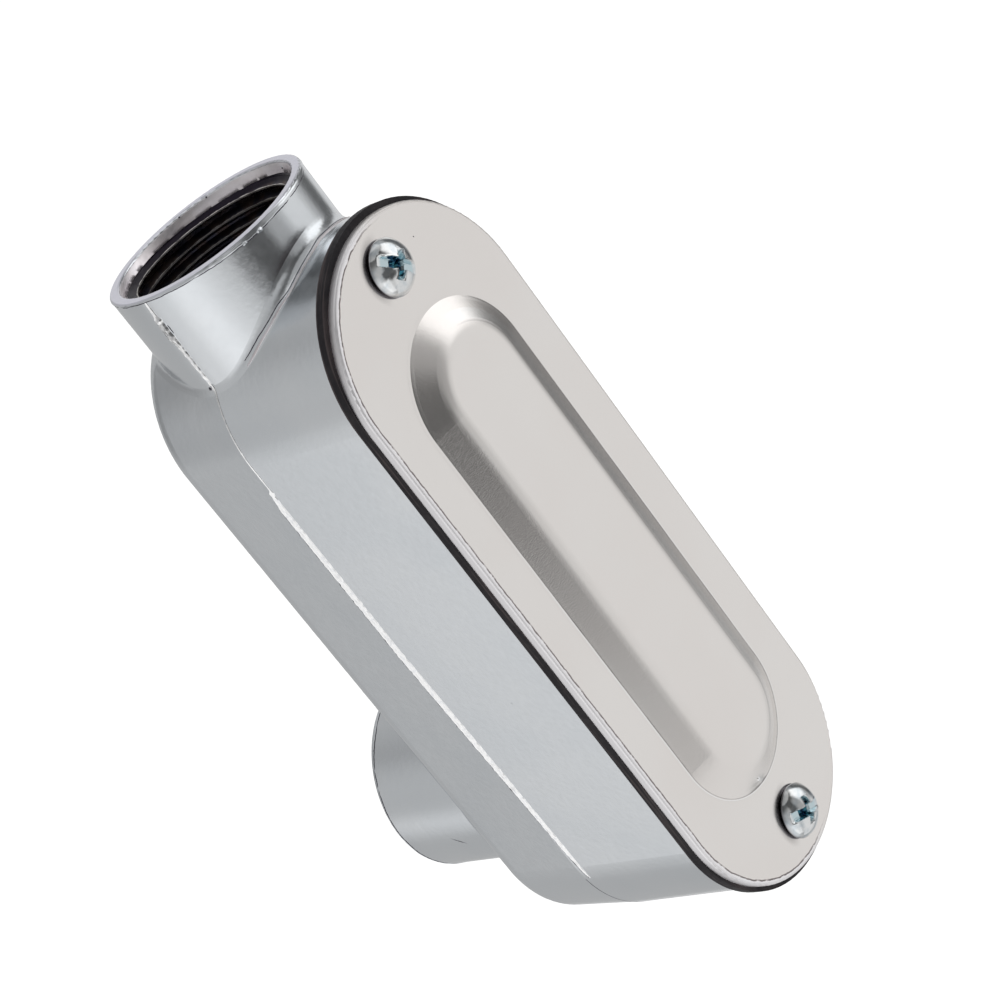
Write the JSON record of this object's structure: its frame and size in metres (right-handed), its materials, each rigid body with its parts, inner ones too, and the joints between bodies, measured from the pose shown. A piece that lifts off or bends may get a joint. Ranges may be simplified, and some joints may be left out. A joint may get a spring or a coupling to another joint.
{
  "type": "conduit body",
  "caption": "Right-angle conduit body with a gasketed cover held by screws, for pulling wires round a corner between two threaded conduits.",
  "frame": {"origin": "centre of the upper hub's mouth", "axes": "+Z out of the upper hub along its axis, -Y out of the cover, +Y out of the rear hub"},
  "size_m": [0.0378, 0.0582, 0.1216],
  "materials": {
    "casting": "satin, as die cast",
    "gasket": "matte",
    "cover": "satin stamped sheet",
    "screw": "bright zinc plate, slightly blue"
  },
  "bodies": {
    "casting": {"casting": "casting"},
    "cover": {"cover_plate": "cover", "gasket": "gasket"},
    "upper_screw": {"upper_screw": "screw"},
    "lower_screw": {"lower_screw": "screw"}
  },
  "joints": [
    {"name": "cover_lift", "type": "slide", "parent": "casting", "child": "cover", "axis": [0, -1, 0], "range_m": [0, 0.03]},
    {"name": "upper_screw_out", "type": "slide", "parent": "cover", "child": "upper_screw", "axis": [0, -1, 0], "range_m": [0, 0.00675]},
    {"name": "lower_screw_out", "type": "slide", "parent": "cover", "child": "lower_screw", "axis": [0, -1, 0], "range_m": [0, 0.00675]}
  ]
}
